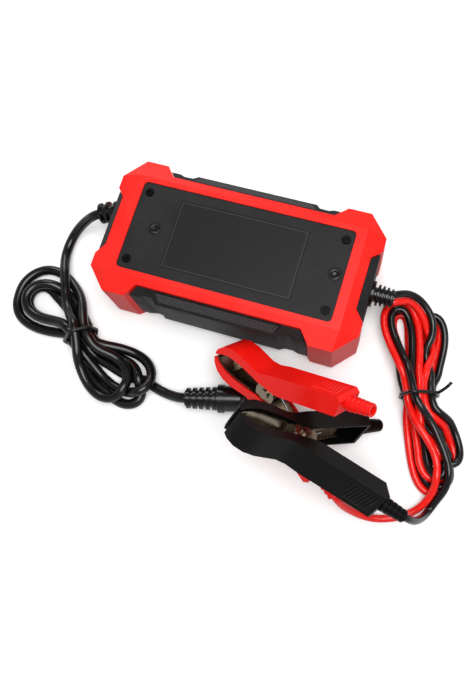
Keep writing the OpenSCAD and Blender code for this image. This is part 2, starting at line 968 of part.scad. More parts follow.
// Black: the same way
module black_fixed_grip() {
    color(black_pvc)
        at_black() near_half() sleeve_half();
}
module black_fixed_jaw() {
    color(steel)
        at_black() near_half() jaw_half(z_a.x, z_a.y);
}
module black_moving_grip() {
    color(black_pvc)
        at_black() rotate([0, 0, -open_by]) far_half() sleeve_half();
}
module black_moving_jaw() {
    color(steel)
        at_black() rotate([0, 0, -open_by]) far_half() jaw_half(z_b.x, z_b.y);
}
module black_rivet() {
    color(steel)
        at_black() rivet();
}
module black_spring() {
    color(steel)
        at_black() spring();
}
module red_lead() {
    color(red_pvc)
        tube([
            [101.9, -128.8, 29.5], [104.8, -131.2, 29.3], [109.3, -133.4, 27], [114.6, -134.5, 22],
            [121, -134.9, 14.8], [127.5, -134.4, 8.5], [134, -133, 4], [141, -130.2, 2.8],
            [148, -125.6, 2.7], [153, -119.6, 2.7], [156, -114, 2.8], [156.6, -112.2, 3.2]
        ], strand_d / 2, 8);
}
module black_lead() {
    color(black_pvc)
        tube([
            [143, -128.8, 41.8], [146.4, -129.4, 40.2], [150.4, -128.4, 35.5], [153.6, -125.5, 28.5],
            [156.6, -121.6, 20.5], [159.6, -117.4, 12.5], [162.2, -114, 6], [163.2, -112.2, 3.4]
        ], strand_d / 2, 8);
}

front_shell();
back_shell();
back_plate();
rating_label();
case_screws();
near_side_panel();
far_side_panel();
near_grip_pad();
far_grip_pad();
mains_end_cap();
output_end_cap();
mains_gland();
output_gland();
front_panel();
display_window();
display_module();
display_board();
mode_button();
button_switch();
board_header();
main_board();
board_screws();
transformer_core();
transformer_winding();
filter_choke();
mains_capacitor();
output_capacitors();
primary_heatsink();
output_heatsink();
power_transistors();
mains_fuse();
mains_lead();
mains_hank();
mains_lead_tail();
mains_tie();
plug_body();
plug_pins();
output_lead_in();
output_hank();
output_tie();
output_slack();
red_lead();
black_lead();
red_fixed_grip();
red_fixed_jaw();
red_moving_grip();
red_moving_jaw();
red_rivet();
red_spring();
black_fixed_grip();
black_fixed_jaw();
black_moving_grip();
black_moving_jaw();
black_rivet();
black_spring();
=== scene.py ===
# %% [markdown]
# # A car battery charger, dressed for its portrait
# The solid model of the charger arrives as a fixed frame: every node of it is already in place. This lesson
# gives each node its finish, rounds its edges where light catches them, and lays the leads, which solid
# modelling only blocks out. Everything is in metres; sizes read more easily in millimetres, so `mm` turns them.

# %% The frame
import json
import math
import bmesh
import bpy
import numpy as np
from mathutils import Matrix, Vector


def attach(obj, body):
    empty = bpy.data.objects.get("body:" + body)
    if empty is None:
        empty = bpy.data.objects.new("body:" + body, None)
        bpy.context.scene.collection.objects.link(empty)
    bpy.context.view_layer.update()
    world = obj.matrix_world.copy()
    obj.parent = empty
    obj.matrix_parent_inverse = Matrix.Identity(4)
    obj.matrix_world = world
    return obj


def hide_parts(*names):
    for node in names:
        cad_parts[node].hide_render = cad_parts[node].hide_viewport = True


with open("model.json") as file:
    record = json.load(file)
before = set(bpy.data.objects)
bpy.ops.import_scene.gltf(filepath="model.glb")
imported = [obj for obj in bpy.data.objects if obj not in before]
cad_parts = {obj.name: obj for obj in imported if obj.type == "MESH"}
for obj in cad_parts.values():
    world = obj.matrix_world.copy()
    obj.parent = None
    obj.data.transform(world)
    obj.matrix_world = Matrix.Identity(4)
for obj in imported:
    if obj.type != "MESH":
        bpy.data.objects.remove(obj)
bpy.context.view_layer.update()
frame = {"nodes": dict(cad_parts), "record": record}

mm = 0.001
nodes = frame["nodes"]

# %% [markdown]
# ## The camera
# The charger lies on its front and is seen from high on its near side. The camera's matrix holds its right, up
# and backward directions as columns, so no angles have to be guessed.

# %% Camera
right = np.array([0.94608, 0.29925, -0.12404])
up = np.array([-0.26441, 0.93458, 0.23803])
back = np.cross(right, up)
place = np.array([102.97, -149.42, 483.25]) * mm
camera = bpy.data.objects.new("camera", bpy.data.cameras.new("camera"))
bpy.context.scene.collection.objects.link(camera)
camera.matrix_world = Matrix([[*row, p] for row, p in zip(np.column_stack([right, up, back]), place)] + [[0, 0, 0, 1]])
camera.data.lens = 37.57
camera.data.sensor_width = 36
camera.data.clip_start = 0.01
bpy.context.scene.camera = camera
bpy.context.scene.view_settings.view_transform = "Standard"
print("camera stands", round(place[2] / mm), "mm above the floor")

# %% [markdown]
# ## Colours and nodes
# A paint chip is written in sRGB hex, but shaders add and multiply light, so they want linear numbers. One
# function turns the one into the other. A second adds a shader node with its settings and links in one line.
# Sockets go by name, or by number where names repeat: MapRange takes 0 from the range 1 to 2 to the range 3 to 4,
# and Mix goes by 0 from 6 to 7 for colours, or from 2 to 3 for plain numbers.

# %% Helpers for materials
def linear(chip):
    """sRGB hex to linear: below 0.04045 divide by 12.92, above it ((c + 0.055) / 1.055) to the power 2.4."""
    c = np.array([int(chip[i:i + 2], 16) for i in (1, 3, 5)]) / 255
    return (*np.where(c <= 0.04045, c / 12.92, ((c + 0.055) / 1.055) ** 2.4), 1.0)


def add(tree, kind, given=None, out=0):
    """One node. An input's name in `given` takes a value or another node's output; any other name is a property."""
    made = tree.nodes.new("ShaderNode" + kind)
    for name, value in (given or {}).items():
        if not isinstance(name, int) and name not in made.inputs:
            setattr(made, name, value)
        elif isinstance(value, bpy.types.NodeSocket):
            tree.links.new(value, made.inputs[name])
        else:
            made.inputs[name].default_value = value
    return made.outputs[out]


def begin(name):
    """An empty material, its tree, and the object's own coordinates in metres."""
    material = bpy.data.materials.new(name)
    material.use_nodes = True
    tree = material.node_tree
    tree.nodes.clear()
    return material, tree, add(tree, "TexCoord", out="Object")


def surface(tree, given):
    """Ends a tree: a Principled surface with these inputs."""
    tree.links.new(add(tree, "BsdfPrincipled", given), tree.nodes.new("ShaderNodeOutputMaterial").inputs[0])


print("light red in linear:", [round(v, 3) for v in linear("#F5281E")[:3]])

# %% [markdown]
# ## Floor and light
# A product like this is shot on a white sweep under a big soft box, which leaves soft shadows close to it. A weak
# strip from the far side gives the shaded walls an edge.
# The floor is a real surface, so it keeps those shadows. Seen straight by the camera it gives off a trace of light
# of its own, a third of that in gloss, which brings it to paper white without putting more light on the charger.
# To other surfaces it looks greyer than it is, because a full white floor would fill the shaded walls.

# %% Floor
def flat_sheet(name, half, z):
    """A level square: four corners at plus and minus half."""
    mesh = bpy.data.meshes.new(name)
    mesh.from_pydata([(-half, -half, z), (half, -half, z), (half, half, z), (-half, half, z)], [], [(0, 1, 2, 3)])
    made = bpy.data.objects.new(name, mesh)
    bpy.context.scene.collection.objects.link(made)
    return made


def seen_straight(tree):
    """1 for rays from the camera or through glass, a third for those from gloss, and 0 for scattered light."""
    path = tree.nodes.new("ShaderNodeLightPath").outputs
    gloss = add(tree, "Math", {"operation": "MULTIPLY", 0: path["Is Glossy Ray"], 1: 0.33})
    straight = add(tree, "Math", {"operation": "MAXIMUM", 0: path["Is Camera Ray"], 1: path["Is Transmission Ray"]})
    return add(tree, "Math", {"operation": "MAXIMUM", 0: gloss, 1: straight})


floor = flat_sheet("floor", 3.0, 0.0)
paper, tree, spot = begin("matt_white_paper")
seen = seen_straight(tree)
tone = add(tree, "Mix", {"data_type": "RGBA", 0: seen, 6: linear("#B4B4B4"), 7: linear("#F6F6F6")}, out=2)
sheet = add(tree, "BsdfDiffuse", {"Color": tone})
trace = add(tree, "Math", {"operation": "MULTIPLY", 0: seen, 1: 0.18})
glow = add(tree, "Emission", {"Color": linear("#FFFFFF"), "Strength": trace})
tree.links.new(add(tree, "AddShader", {0: sheet, 1: glow}), tree.nodes.new("ShaderNodeOutputMaterial").inputs[0])
floor.data.materials.append(paper)
print("floor", floor.dimensions[:2])

# %% Light
def soft_box(name, power, size, at, look):
    """A square lamp of `power` watts and `size` metres at `at` that faces `look`."""
    lamp = bpy.data.objects.new(name, bpy.data.lights.new(name, "AREA"))
    lamp.data.energy, lamp.data.size = power, size
    bpy.context.scene.collection.objects.link(lamp)
    lamp.location = at
    lamp.rotation_euler = (Vector(look) - Vector(at)).to_track_quat("-Z", "Y").to_matrix().to_euler()
    return lamp


soft_box("overhead_box", 21.0, 1.1, (0.30, -0.20, 1.5), (0.02, -0.05, 0))
soft_box("far_strip", 3.0, 0.5, (-0.5, 0.9, 0.7), (0, 0, 0.02))
world = bpy.data.worlds.new("studio")
bpy.context.scene.world = world
world.use_nodes = True
tree = world.node_tree
tree.nodes.clear()
path = tree.nodes.new("ShaderNodeLightPath").outputs
height = add(tree, "SeparateXYZ", {"Vector": add(tree, "TexCoord", out="Generated")}, out="Z")
mirrored = add(tree, "MapRange", {0: height, 1: 0.0, 2: 0.9, 3: 0.62, 4: 0.16})
scattered = add(tree, "Mix", {0: path["Is Glossy Ray"], 2: 0.34, 3: mirrored})
strength = add(tree, "Mix", {0: path["Is Camera Ray"], 2: scattered, 3: 1.0})
backdrop = add(tree, "Background", {"Color": linear("#FFFFFF"), "Strength": strength})
tree.links.new(backdrop, tree.nodes.new("ShaderNodeOutputWorld").inputs[0])
print("two soft boxes in a studio with bright walls and a dim ceiling")

# %% [markdown]
# ## Plastics
# Nearly all of the charger is moulded plastic, and what tells one from another is how its mould was cut. So one
# recipe serves them all: a colour, a second colour for its mottling, a roughness, and a grain in millimetres
# that lifts the surface a little. ABS and PVC both bend light about 1.54.

# %% Moulded plastic
def moulded(name, chip, mottle, rough, grain, lift, coat=0.0, spread=0.5, shine=0.5):
    """Noise of `grain` mm mixes the two chips by `spread` and lifts the surface by `lift` mm."""
    material, tree, spot = begin(name)
    fine = add(tree, "TexNoise", {"Vector": spot, "Scale": 1 / (grain * mm), "Detail": 2.0, "Roughness": 0.55})
    broad = add(tree, "TexNoise", {"Vector": spot, "Scale": 1 / (18 * mm), "Detail": 2.0})
    both = add(tree, "Math", {"operation": "MULTIPLY", 0: fine, 1: broad})
    share = add(tree, "MapRange", {0: both, 1: 0.12, 2: 0.42, 3: 0.0, 4: spread})
    colour = add(tree, "Mix", {"data_type": "RGBA", 0: share, 6: linear(chip), 7: linear(mottle)}, out=2)
    gloss = add(tree, "MapRange", {0: broad, 1: 0.3, 2: 0.7, 3: rough - 0.04, 4: rough + 0.04})
    relief = add(tree, "Bump", {"Height": fine, "Distance": lift * mm, "Strength": 1.0})
    surface(tree, {"Base Color": colour, "Roughness": gloss, "IOR": 1.54, "Normal": relief, "Specular IOR Level": shine,
                   "Coat Weight": coat, "Coat Roughness": 0.12})
    return material


finishes = {
    # Satin injection-moulded ABS: even, saturated, with soft highlights along its creases
    "red_abs": moulded("satin_moulded_abs_red", "#F8180E", "#FA2A1E", 0.40, 1.3, 0.012, shine=0.3),
    # ABS from a spark-eroded mould: a dry, sandy black. Real sparks are 0.1 mm, drawn here 0.7 mm to show
    "black_abs": moulded("spark_textured_abs_black", "#0A0A0B", "#202022", 0.56, 0.7, 0.14, spread=0.9, shine=0.3),
    # Dip-moulded soft PVC sleeves: glossy, with a slight orange peel
    "red_grip": moulded("dip_moulded_pvc_red", "#F6120B", "#FA2218", 0.36, 3.5, 0.02, coat=0.08, shine=0.3),
    "black_grip": moulded("dip_moulded_pvc_black", "#090808", "#110F0E", 0.36, 3.5, 0.02, coat=0.03, shine=0.12),
    # Extruded PVC: drawn smooth by its die, so one clean line of light runs along it
    "black_pvc": moulded("extruded_pvc_black", "#0B0B0C", "#121213", 0.24, 5.0, 0.02, coat=0.22, shine=0.35),
    "red_pvc": moulded("extruded_pvc_red", "#F6140C", "#FA2418", 0.27, 5.0, 0.02, coat=0.15, shine=0.4),
    # Black polished front panel, and the soft button
    "gloss_panel": moulded("polished_abs_black", "#101012", "#141417", 0.12, 6.0, 0.002),
    "button_red": moulded("soft_touch_silicone_red", "#B3231F", "#BE2E29", 0.62, 0.9, 0.02),
    # Display glass with its pale grey-green film, solder resist, tape, sleeves
    "display_glass": moulded("reflective_lcd_film", "#8F9B93", "#98A49B", 0.22, 4.0, 0.002),
    "circuit_board": moulded("green_solder_resist", "#1E5A36", "#2A6B42", 0.38, 3.0, 0.01),
    "winding_tape": moulded("yellow_polyester_tape", "#D9A92B", "#E2B63E", 0.35, 3.0, 0.01),
    "capacitor_sleeve": moulded("navy_shrink_sleeve", "#1C2440", "#242E50", 0.30, 3.0, 0.01),
    "ferrite": moulded("sintered_ferrite", "#3A3A3C", "#48484A", 0.72, 0.7, 0.05),
}
print(len(finishes), "plastics and ceramics")

# %% [markdown]
# ## The label's place
# The label is a smooth polyester film, darker than the sandy plate round it, and it is left bare. Its only print
# is a thin frame. A point's distance past the frame is the larger of its distances past it in x and in y, so the
# frame is drawn where that distance is near nothing.

# %% Printed film
def framed_film(name, node, film, mottle, print_chip, inset=1.1, core=0.10, fade=0.22, grain=2.4):
    """A film with a line `inset` mm in from the node's edge, full to `core` mm off its middle and gone at `fade`."""
    material, tree, spot = begin(name)
    split = add(tree, "SeparateXYZ", {"Vector": spot}).node
    box = np.array([list(corner) for corner in nodes[node].bound_box])
    past = []
    for axis, high, low in zip("XY", box.max(0), box.min(0)):
        off = add(tree, "Math", {"operation": "SUBTRACT", 0: split.outputs[axis], 1: float(high + low) / 2})
        size = add(tree, "Math", {"operation": "ABSOLUTE", 0: off})
        past.append(add(tree, "Math", {"operation": "SUBTRACT", 0: size, 1: float(high - low) / 2 - inset * mm}))
    outermost = add(tree, "Math", {"operation": "MAXIMUM", 0: past[0], 1: past[1]})
    away = add(tree, "Math", {"operation": "ABSOLUTE", 0: outermost})
    frame_line = add(tree, "MapRange", {0: away, 1: core * mm, 2: fade * mm, 3: 1.0, 4: 0.0})
    fine = add(tree, "TexNoise", {"Vector": spot, "Scale": 1 / (grain * mm), "Detail": 2.0})
    tone = add(tree, "Mix", {"data_type": "RGBA", 0: fine, 6: linear(film), 7: linear(mottle)}, out=2)
    colour = add(tree, "Mix", {"data_type": "RGBA", 0: frame_line, 6: tone, 7: linear(print_chip)}, out=2)
    surface(tree, {"Base Color": colour, "Roughness": 0.42, "IOR": 1.54, "Specular IOR Level": 0.3})
    print(node, "measures", np.round(np.ptp(box, 0) / mm, 1), "mm")
    return material


finishes["label"] = framed_film("printed_polyester_film_black", "rating_label", "#0B0B0A", "#141412", "#42423F")

# %% [markdown]
# ## Metals and clear parts
# Metal shows its making by its roughness: pressed nickel-plated strip is bright and slightly streaked, drawn
# wire is even, black-oxide screws are dull. A metal has no colour of its own but its reflection's.

# %% Metals
def metal(name, chip, mottle, rough, grain, stretch=(1, 1, 1), lift=0.004):
    """Noise of `grain` mm, drawn out by `stretch`, varies the tint and the roughness of a bare metal."""
    material, tree, spot = begin(name)
    drawn = add(tree, "Mapping", {"Vector": spot, "Scale": stretch})
    fine = add(tree, "TexNoise", {"Vector": drawn, "Scale": 1 / (grain * mm), "Detail": 3.0})
    colour = add(tree, "Mix", {"data_type": "RGBA", 0: fine, 6: linear(chip), 7: linear(mottle)}, out=2)
    gloss = add(tree, "MapRange", {0: fine, 1: 0.3, 2: 0.7, 3: rough - 0.07, 4: rough + 0.07})
    relief = add(tree, "Bump", {"Height": fine, "Distance": lift * mm})
    surface(tree, {"Base Color": colour, "Roughness": gloss, "Metallic": 1.0, "Normal": relief})
    return material


finishes |= {
    # Black oxide on screws: dark, dull and slightly blue
    "black_steel": metal("black_oxide_steel", "#161617", "#242425", 0.40, 1.2),
    # Pressed strip under warm nickel: soft streaks, as the noise is four times as tall as it is wide
    "nickel_steel": metal("pressed_nickel_plated_steel", "#8E8272", "#A39787", 0.27, 4.0, (1, 1, 0.25)),
    # Drawn wire: an even grey with a tight line of light
    "spring_steel": metal("drawn_spring_wire", "#8F8F92", "#A9A9AC", 0.28, 1.5),
    # Zinc, sawn aluminium, nickel on brass and enamelled copper, from cool and pale to warm and dark
    "zinc_steel": metal("zinc_plated_steel", "#B7B7B2", "#C9C9C5", 0.32, 1.4),
    "heatsink": metal("sawn_aluminium_extrusion", "#BFC0C2", "#CFD0D2", 0.36, 1.0, (1, 0.2, 1)),
    "pin_brass": metal("nickel_plated_brass_pins", "#C9C3B5", "#D8D2C6", 0.22, 2.0),
    "winding_wire": metal("enamelled_copper_wire", "#B4582A", "#C96B38", 0.30, 1.2),
}


def clear(name, chip, rough):
    """A clear pane: light passes through and takes the chip's tint."""
    material, tree, spot = begin(name)
    smear = add(tree, "TexNoise", {"Vector": spot, "Scale": 1 / (9 * mm), "Detail": 2.0})
    gloss = add(tree, "MapRange", {0: smear, 1: 0.3, 2: 0.7, 3: rough, 4: rough + 0.05})
    surface(tree, {"Base Color": linear(chip), "Roughness": gloss, "IOR": 1.49, "Transmission Weight": 1.0})
    return material


finishes |= {"display_window": clear("clear_acrylic", "#E8EEF0", 0.04), "fuse": clear("fuse_glass", "#F2F2EE", 0.03)}
print(len(finishes), "finishes in all")

# %% [markdown]
# ## How a lead lies
# A lead is a fixed length of something springy and heavy. Its route over the floor is drawn as round
# numbers, because that is a choice; its height is not, because weight and what it crosses decide it. So each
# route is turned into points 2.5 mm apart, which then sink, are pushed off each other where they would share
# space, and are smoothed as a springy lead smooths itself. After some hundred rounds the lead hardly moves. Where
# many strands go through one tie, some still press into each other; each settling prints by how much.

# %% A smooth line through points
STEP = 2.5   # mm from point to point


def through(route, soften=2, samples=40):
    """Catmull-Rom cubics through the route, `samples` to a stretch, cut to equal steps by its length, then averaged
    lightly `soften` times. Columns after x, y and z ride along."""
    p = np.asarray(route, float)
    p = np.vstack([2 * p[0] - p[1], p, 2 * p[-1] - p[-2]])
    t = np.linspace(0, 1, samples, endpoint=False)[None, :, None]
    a, b, c, d = (p[k:len(p) - 3 + k][:, None, :] for k in range(4))
    fine = 0.5 * (2 * b + (c - a) * t + (2 * a - 5 * b + 4 * c - d) * t ** 2 + (3 * b - a - 3 * c + d) * t ** 3)
    fine = np.vstack([fine.reshape(-1, p.shape[1]), p[-2]])
    for _ in range(2):
        run = np.r_[0, np.cumsum(np.linalg.norm(np.diff(fine[:, :3], axis=0), axis=1))]
        mark = np.linspace(0, run[-1], int(round(run[-1] / STEP)) + 1)
        fine = np.column_stack([np.interp(mark, run, axis) for axis in fine.T])
        for _ in range(soften):
            fine[2:-2] = 0.25 * fine[1:-3] + 0.5 * fine[2:-2] + 0.25 * fine[3:-1]
    return fine


def length_of(line):
    """The sum of a line's steps."""
    return float(np.linalg.norm(np.diff(line, axis=0), axis=1).sum())


def tightest(line, skip=6):
    """The tightest bend: radius of the circle through points 3 apart, in mm, with the point's number and place."""
    a, b, c = line[skip - 3:-skip - 3], line[skip:-skip], line[skip + 3:len(line) - skip + 3]
    area = 0.5 * np.linalg.norm(np.cross(b - a, c - a), axis=1)
    ab, bc, ca = (np.linalg.norm(u - v, axis=1) for u, v in ((a, b), (b, c), (c, a)))
    radius = ab * bc * ca / (4 * area + 1e-9)
    worst = int(radius.argmin())
    return round(float(radius[worst]), 1), worst + skip, np.round(line[worst + skip], 1).tolist()


print("a straight run of 100 mm is cut into", len(through([(0, 0, 0), (50, 0, 0), (100, 0, 0)])), "points")

# %% [markdown]
# ## Coming to rest
# This is relaxation: no forces or times, only small moves, repeated a fixed number of times. The numbers below say
# how strong each move is, and were found by trying.

# %% Settling
HELD = 5            # points at each end that stay where they are drawn
SEARCH_EVERY = 12   # rounds between two searches for neighbours
LAST_ROUNDS = 60    # at the end nothing sinks or drifts any more, and the smoothing is lighter
ROOM = 2.02         # radii kept between two centrelines
FIRM = 0.38         # share of a missing distance by which one push moves each of the two points
LEVEL_SHARE = 0.45  # how much a push goes sideways, where 1 would be straight apart
BOND = 0.45         # share of a pair's error that each of its two strands takes
TIE_LIFT_REACH, TIE_PULL_REACH, TIE_WIDTH = 13, 9, 24   # mm from the tie over which it lifts, pulls and catches


def settle(lines, radius, tie, tightest_bend, pairs=None, rounds=520, weight=0.10, grip=0.06):
    """Lets lines of points come to rest.
    Each round every point sinks a little, drifts back towards its line of sight from the camera, so that the drawn
    arrangement survives, and is smoothed with its neighbours.
    Points of different stretches that are closer than a diameter are then pushed apart, mostly in height.
    `tie` is (x, y, lift, facing, half width): it passes under the lead there and holds it up by that lift, and
    it draws in whatever lies further out than its half width. Bends under `tightest_bend` straighten a little.
    `pairs` are two lists of points that are moulded together, and keep their distance and their twist."""
    sizes = [len(line) for line in lines]
    p = np.vstack(lines).copy()
    start = p.copy()
    lean = (start[:, :2] - place[:2] / mm) / (start[:, 2:] - place[2] / mm)
    line = np.repeat(np.arange(len(lines)), sizes)
    order = np.concatenate([np.arange(n) for n in sizes])
    held = (order < HELD) | (order >= np.array(sizes)[line] - HELD)
    fixed = p[held].copy()
    inner = (order[1:-1] > 0) & (line[:-2] == line[2:])
    x, y, lift, facing, half = tie
    away = start[:, :2] - (x, y)
    low = radius + lift * np.exp(-(away ** 2).sum(1) / TIE_LIFT_REACH ** 2)
    across = np.array([-math.sin(math.radians(facing)), math.cos(math.radians(facing))])
    grasp = np.exp(-((away ** 2).sum(1) - (away @ across) ** 2) / TIE_PULL_REACH ** 2)
    grasp = grasp * (np.abs(away @ across) < TIE_WIDTH)
    bound = np.zeros(0, int)
    if pairs is not None:
        bound = np.concatenate([pairs[0] * len(p) + pairs[1], pairs[1] * len(p) + pairs[0]])
    for turn in range(rounds):
        last = turn > rounds - LAST_ROUNDS
        if turn % SEARCH_EVERY == 0:
            square = (p ** 2).sum(1)
            near = square[:, None] + square[None, :] - 2 * p @ p.T < (2 * radius + 3) ** 2
            i, j = np.nonzero(np.triu(near, 1))
            apart = (line[i] != line[j]) | (np.abs(order[i] - order[j]) > 4 * radius / STEP + 2)
            apart &= ~np.isin(i * len(p) + j, bound)
            i, j = i[apart], j[apart]
        if not last:
            p[:, 2] -= weight
        sight = start[:, :2] + (p[:, 2:] - start[:, 2:]) * lean
        if not last:
            p[:, :2] += grip * (sight - p[:, :2])
        # Smoothed is how far a point has come from its line of sight, so that the drawn bends stay
        drift = np.column_stack([p[:, :2] - sight, p[:, 2]])
        mean = 0.5 * (drift[:-2] + drift[2:]) - drift[1:-1]
        p[1:-1][inner] += (0.2 if last else 0.5) * mean[inner]
        # A bend of radius R stands STEP^2 / 2R off its chord; what stands off further is eased
        bend = 0.5 * (p[:-2] + p[2:]) - p[1:-1]
        ease = 0.6 * np.clip(1 - STEP ** 2 / (2 * tightest_bend) / (np.linalg.norm(bend, axis=1) + 1e-9), 0, 1)
        p[1:-1][inner] += (ease[:, None] * bend)[inner]
        out = (p[:, :2] - (x, y)) @ across
        out -= np.clip(out, radius - half, half - radius)
        p[:, :2] -= (0.25 * grasp * out)[:, None] * across
        for _ in range(3):
            gap = (p[j] - p[i]) * np.array([LEVEL_SHARE, LEVEL_SHARE, 1.0])
            true = np.linalg.norm(p[j] - p[i], axis=1)
            push = np.clip(ROOM * radius - true, 0, None) * FIRM
            shove = gap / (np.linalg.norm(gap, axis=1) + 1e-9)[:, None] * push[:, None]
            for axis in range(3):
                p[:, axis] += np.bincount(j, shove[:, axis], len(p)) - np.bincount(i, shove[:, axis], len(p))
            if pairs is not None:
                a, b = pairs
                miss = (start[b] - start[a]) - (p[b] - p[a])
                p[a] -= BOND * miss
                p[b] += BOND * miss
            p[:, 2] = np.maximum(p[:, 2], low)
        p[held] = fixed
    true = np.linalg.norm(p[j] - p[i], axis=1)
    print("settled", sizes, "points; closest crossing", round(float(true.min()), 2), "mm of", 2 * radius)
    return [p[line == k] for k in range(len(lines))]


# %% [markdown]
# ## A lead's body
# A lead is one round section carried along its line. The same function makes the ties.

# %% Making a piece
def link(name, mesh, finish):
    """A new piece of the charger, smooth shaded, with its finish."""
    mesh.polygons.foreach_set("use_smooth", np.ones(len(mesh.polygons), bool))
    mesh.materials.append(finishes[finish])
    made = bpy.data.objects.new(name, mesh)
    bpy.context.scene.collection.objects.link(made)
    return made


def face_outwards(mesh):
    """Turns every face of a closed mesh to look out of it."""
    work = bmesh.new()
    work.from_mesh(mesh)
    bmesh.ops.recalc_face_normals(work, faces=work.faces)
    work.to_mesh(mesh)
    work.free()


# %% A round section carried along a line
def carry_round(name, line, radius, finish, sides=16, closed=False):
    """Ring k stands at point k: centre + radius (cos a * side + sin a * over), where side is square to the line
    and to a guide, and over is square to line and side. The guide is upright; a closed loop stands upright itself
    and would somewhere run along it, so there it is tilted. Flat fans close an open line's two ends. Sizes in mm."""
    line = np.asarray(line, float)
    ahead = np.roll(line, -1, 0) - np.roll(line, 1, 0) if closed else np.gradient(line, axis=0)
    ahead /= np.linalg.norm(ahead, axis=1)[:, None]
    side = np.cross(ahead, (0.3, 0.2, 0.05) if closed else (0, 0, 1))
    side /= np.linalg.norm(side, axis=1)[:, None]
    over = np.cross(side, ahead)
    a = np.arange(sides) * 2 * np.pi / sides
    size = np.broadcast_to(radius, len(line))[:, None, None]
    rings = line[:, None] + size * (np.cos(a)[:, None] * side[:, None] + np.sin(a)[:, None] * over[:, None])
    n = len(line)
    k, s = np.meshgrid(np.arange(n if closed else n - 1), np.arange(sides), indexing="ij")
    here, there = k * sides, (k + 1) % n * sides
    quads = np.stack([here + s, here + (s + 1) % sides, there + (s + 1) % sides, there + s], -1).reshape(-1, 4)
    faces = quads.tolist()
    if not closed:
        faces += [list(range(sides))[::-1], list(range((n - 1) * sides, n * sides))]
    mesh = bpy.data.meshes.new(name)
    mesh.from_pydata((rings.reshape(-1, 3) * mm).tolist(), [], faces)
    face_outwards(mesh)
    return link(name, mesh, finish)


# %% [markdown]
# ## The mains lead
# A three-core flexible lead, 6.8 mm thick. It leaves its sleeve at the case's end, runs over the left lobe of
# the hank into the tie, and makes three turns each side before it goes to the plug.

# %% Mains lead: the route
mains_r = 3.4
mains_waist = (-94, -74.2)
mains_route = [
    (-100.5, 12.1, 25.9), (-105.9, 10.2, 25), (-110.3, 8.2, 24.2), (-114.3, 4.6, 22.8), (-117.9, -0.4, 21.3),
    (-120.4, -5.9, 20), (-121.5, -13.8, 19.5), (-121.8, -22, 19), (-120.1, -30.6, 19), (-117.4, -38.8, 19),
    (-114, -46.7, 19), (-109.8, -54.4, 19), (-105.2, -61.8, 19), (-100.6, -68, 19), (-96.3, -73.6, 19),
    (-91.5, -82.3, 18), (-87.8, -90.5, 16), (-83.2, -97.4, 15), (-76.9, -104.3, 14), (-69.1, -109.6, 13),
    (-61.5, -112.3, 12.5), (-55.1, -111.4, 12.5), (-50, -106.9, 12.5), (-47.3, -100.8, 12.5), (-48.3, -93.9, 12.5),
    (-52.4, -88, 12.5), (-59.8, -82.9, 12.5), (-68.6, -78.8, 13), (-77.5, -75.5, 14), (-86, -72.9, 16),
    (-91.3, -69.1, 17), (-94.7, -63, 16), (-98.2, -56.2, 15), (-103.4, -48.5, 14), (-110.7, -41.8, 13),
    (-118.3, -36.5, 12), (-125.4, -34.4, 11), (-133.7, -34.4, 10), (-140.5, -37, 9), (-146.3, -41.9, 8),
    (-150.6, -49.2, 7), (-151.2, -57.4, 6), (-151.2, -64.6, 5), (-148, -70.9, 4), (-138.8, -75.4, 4),
    (-128.2, -78.8, 4), (-115.8, -80.4, 4), (-106.4, -81, 4), (-100.5, -81.2, 4), (-94, -83.1, 4), (-89.8, -88, 3.5),
    (-83, -95.9, 3.5), (-72.9, -102.8, 3.5), (-61, -107.9, 3.5), (-52.5, -110.8, 3.5), (-45.1, -110.6, 3.5),
    (-38.5, -106.7, 3.5), (-36.5, -100.7, 3.5), (-39.8, -92.1, 4), (-49.2, -84.5, 4), (-60.7, -80.4, 4),
    (-74.8, -76.4, 4), (-84.9, -73, 4), (-92.4, -69.6, 4.5), (-100, -64.8, 4.5), (-105.9, -59.4, 4.5),
    (-112.7, -54.5, 4.5), (-118.8, -50, 4.5), (-125.6, -46, 4.5), (-133, -43.6, 4), (-140.4, -45, 4),
    (-145.4, -50.4, 4), (-146.6, -57.4, 4), (-143, -64, 4), (-135.5, -68.2, 4.5), (-125.6, -70.3, 5.5),
    (-114.2, -74, 7.5), (-103.4, -76.6, 9.5), (-96.2, -78.4, 10), (-89.1, -82, 10), (-81.2, -89.6, 10),
    (-72.3, -96.7, 10), (-63.2, -101.3, 10), (-53.4, -102.7, 10), (-44, -101.7, 10), (-36.8, -98.6, 9),
    (-33.7, -92.6, 9), (-34.6, -85.7, 9), (-39.7, -79.9, 9), (-48.3, -76.3, 9), (-58.7, -74.5, 9.5), (-70.3, -73, 10),
    (-80.9, -70.7, 11), (-90, -67.8, 11.5), (-98.2, -61.8, 11), (-105, -55.5, 11), (-111.9, -51, 11),
    (-119.8, -47.4, 11), (-127.1, -45.3, 11), (-133.8, -45.1, 11), (-140.3, -47.2, 11), (-145.1, -51.7, 11),
    (-146, -58.4, 11), (-141.5, -64.9, 11), (-134, -69.8, 11), (-124.1, -73.4, 11), (-113.4, -76.1, 11),
    (-103.7, -77.7, 11), (-95.4, -78, 9), (-86.9, -79.7, 6), (-77.3, -83.3, 4), (-62.6, -89.5, 3.4),
    (-47.6, -93.1, 3.4), (-33.3, -95.3, 3.4), (-25.8, -95.8, 3.4), (-20, -95.9, 5.6), (-15, -96, 8.2),
    (-9, -94.8, 9.6), (-5, -93.7, 9.6)]
mains_heading = -54
mains_line, = settle([through(mains_route)], mains_r, (*mains_waist, 2.4, mains_heading, 10.4), tightest_bend=20)
print("mains lead", round(length_of(mains_line)), "mm, tightest bend", tightest(mains_line))

# %% [markdown]
# ## The twin output lead
# Two 4.8 mm strands, one red and one black, moulded side by side. The pair is one route with a slow twist:
# the red strand stands to one side of it by a radius and the black to the other. Past the hank's last turn
# they part, and each goes alone to the sleeve of its clamp.

